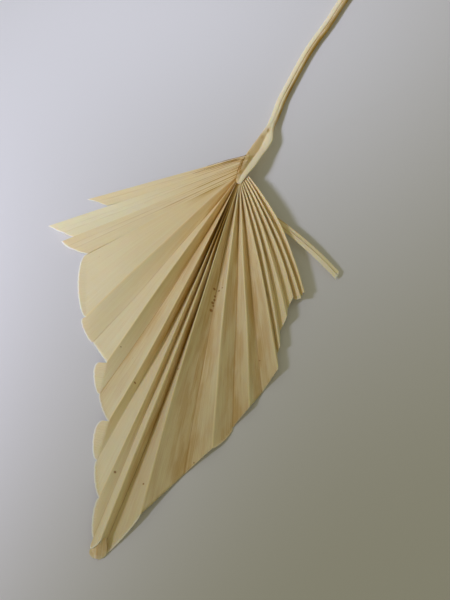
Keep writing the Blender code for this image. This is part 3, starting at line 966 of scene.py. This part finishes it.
def lined(shade, leaf, colour):
    """Broken brown lines in the valleys, partly painted shade, painted highlights on the ridges and
    along the cut edge.
    """
    # the valleys' brown lines are partly painted shade in the creases
    gaps = shade.ramp(shade.noise(leaf.grain, *GAP_NOISE), *NOISE_MIDDLE, *GAP_STRENGTH)
    line = shade.times(shade.ramp(leaf.valley, *VALLEY_WIDE, 1.0, 0.0), gaps)
    line = shade.times(line, shade.ramp(leaf.brown, *VALLEY_BROWN))
    colour = shade.mix(line, colour, VALLEY_LINE)

    # painted highlight along each ridge's crest
    clear = shade.ramp(leaf.valley, *RIDGE_CLEAR)
    crest = shade.times(shade.ramp(leaf.ridge, *RIDGE_WIDE, RIDGE_STRENGTH, 0.0), clear)
    crest = shade.times(crest, shade.ramp(leaf.brown, *RIDGE_BROWN))
    light = shade.mix(shade.ramp(leaf.tan, *RIDGE_TAN), RIDGE_HIGHLIGHT, RIDGE_HIGHLIGHT_TAN)
    colour = shade.mix(crest, colour, light)

    # painted highlight along the cut edge
    strength = shade.ramp(leaf.pale, *RIM_PALE)
    rim = shade.times(shade.ramp(leaf.edge, *RIM_WIDE, 1.0, 0.0), strength)
    return shade.mix(rim, colour, RIM_HIGHLIGHT)


def fleck_mask(shade):
    """1 on the named flecks of the blade and 0 elsewhere, seen from above."""
    place = shade.nodes.new("ShaderNodeTexCoord").outputs["Object"]
    flat = shade.vector("MULTIPLY", place, (1.0, 1.0, 0.0))
    mask = 0.0
    for x, y, radius in FLECKS:
        centre = ((HUB_X + x) * MM, (HUB_Y + y) * MM, 0.0)
        away = shade.vector("DISTANCE", flat, centre)
        spot = shade.ramp(away, FLECK_CORE * radius * MM, radius * MM, 1.0, 0.0)
        mask = shade.math("MAXIMUM", spot, mask)
    return mask


def speckled(shade, leaf, colour):
    """Small brown specks all over, and the named flecks."""
    specks = shade.nodes.new("ShaderNodeTexVoronoi")
    specks.inputs["Scale"].default_value = 1.0
    shade.plug(specks.inputs["Vector"], shade.vector("MULTIPLY", leaf.grain, SPECK_SCALE))
    speck = shade.ramp(specks.outputs["Distance"], *SPECK_RADIUS, SPECK_STRENGTH, 0.0)
    colour = shade.mix(speck, colour, SPECK_COLOUR)
    return shade.mix(shade.times(fleck_mask(shade), FLECK_STRENGTH), colour, FLECK)


def leaf_material():
    """Dried leaf: cream with fine fibres, tan by the hub, brown in the folds partly as painted shade,
    and painted highlights on the ridges and the cut edge.
    """
    material = bpy.data.materials.new("dried_leaf")
    material.use_nodes = True
    shade = Shade(material)
    shader = shade.nodes["Principled BSDF"]
    shader.inputs["Specular IOR Level"].default_value = SHINE
    shader.inputs["Subsurface Weight"].default_value = LIGHT_WITHIN
    shader.inputs["Subsurface Radius"].default_value = LIGHT_REACH
    shader.inputs["Subsurface Scale"].default_value = LIGHT_REACH_STEP * MM

    leaf = Reading(shade)
    colour = grown_colour(shade, leaf)
    colour = stained_and_shaded(shade, leaf, colour)
    colour = lined(shade, leaf, colour)
    colour = speckled(shade, leaf, colour)
    shade.plug(shader.inputs["Base Color"], colour)
    shade.plug(shader.inputs["Roughness"], shade.ramp(leaf.fibre, 0.0, 1.0, *ROUGHNESS))

    bump = shade.nodes.new("ShaderNodeBump")
    bump.inputs["Strength"].default_value = BUMP_STRENGTH
    bump.inputs["Distance"].default_value = BUMP_HEIGHT * MM
    height = shade.math("ADD", leaf.fibre, shade.times(leaf.thread, BUMP_THREAD))
    shade.plug(bump.inputs["Height"], height)
    shade.plug(shader.inputs["Normal"], bump.outputs["Normal"])
    return material


def picture_middle():
    return Vector((*AIM, 0.0)) * MM


def picture_direction(right, away):
    """A level direction in the leaf's frame from one given as the camera sees it."""
    cosine, sine = math.cos(CAMERA_TURN), math.sin(CAMERA_TURN)
    return Vector((right * cosine - away * sine, right * sine + away * cosine, 0.0))


def set_up(thing, place, direction):
    """Puts a camera or a lamp at a place, and makes it look in a direction."""
    thing.location = place
    thing.rotation_mode = "QUATERNION"
    thing.rotation_quaternion = direction.to_track_quat("-Z", "Y")
    bpy.context.scene.collection.objects.link(thing)


def add_camera():
    data = bpy.data.cameras.new("camera")
    data.sensor_width = SENSOR
    data.lens = SENSOR / 2 / math.tan(FIELD_OF_VIEW / 2)
    camera = bpy.data.objects.new("camera", data)
    back = picture_direction(0.0, -CAMERA_DISTANCE * math.cos(CAMERA_RISE))
    back.z = CAMERA_DISTANCE * math.sin(CAMERA_RISE)
    set_up(camera, picture_middle() + back * MM, -back)
    bpy.context.scene.camera = camera


def add_light():
    """Two soft lights from the left, whose beams fade out across the leaf, and a dim warm room."""
    world = bpy.data.worlds.new("room")
    world.use_nodes = True
    background = world.node_tree.nodes["Background"]
    background.inputs["Color"].default_value = (*ROOM_COLOUR, 1.0)
    background.inputs["Strength"].default_value = ROOM_STRENGTH
    bpy.context.scene.world = world
    for light in LIGHTS:
        data = bpy.data.lights.new(light.name, "AREA")
        data.shape = "DISK"
        data.size = light.size
        data.energy = light.energy
        data.color = light.colour
        data.spread = math.radians(light.spread)
        lamp = bpy.data.objects.new(light.name, data)
        lamp.visible_camera = False
        right, away, up = light.place
        place = picture_middle() + picture_direction(right, away) + Vector((0.0, 0.0, up))
        target = picture_middle() + picture_direction(*light.target)
        set_up(lamp, place, target - place)


def add_floor():
    bpy.ops.mesh.primitive_plane_add(size=FLOOR_SIZE, location=(0.0, 0.0, -FLOOR_DROP * MM))
    floor = bpy.context.object
    floor.name = "floor"
    material = bpy.data.materials.new("pale_floor")
    material.use_nodes = True
    shader = material.node_tree.nodes["Principled BSDF"]
    shader.inputs["Base Color"].default_value = (*FLOOR_COLOUR, 1.0)
    shader.inputs["Roughness"].default_value = FLOOR_ROUGHNESS
    floor.data.materials.append(material)


def main():
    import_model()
    bpy.context.scene.view_settings.view_transform = "Standard"
    material = leaf_material()
    blade = to_object("blade", blade_sheet(), material)
    thicken(blade, BLADE_THICK)
    pieces = [
        blade,
        to_object("stalk", stalk_sheet(), material),
        to_object("fibres", fibre_sheet(), material),
    ]
    for number, strip in enumerate(STRIPS):
        piece = to_object(f"strip_{number}", strip_sheet(strip, number), material)
        thicken(piece, BLADE_THICK)
        pieces.append(piece)
    for piece in pieces:
        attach(piece, "root")
        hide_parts("palm_leaf")
    add_floor()
    add_light()
    add_camera()


main()
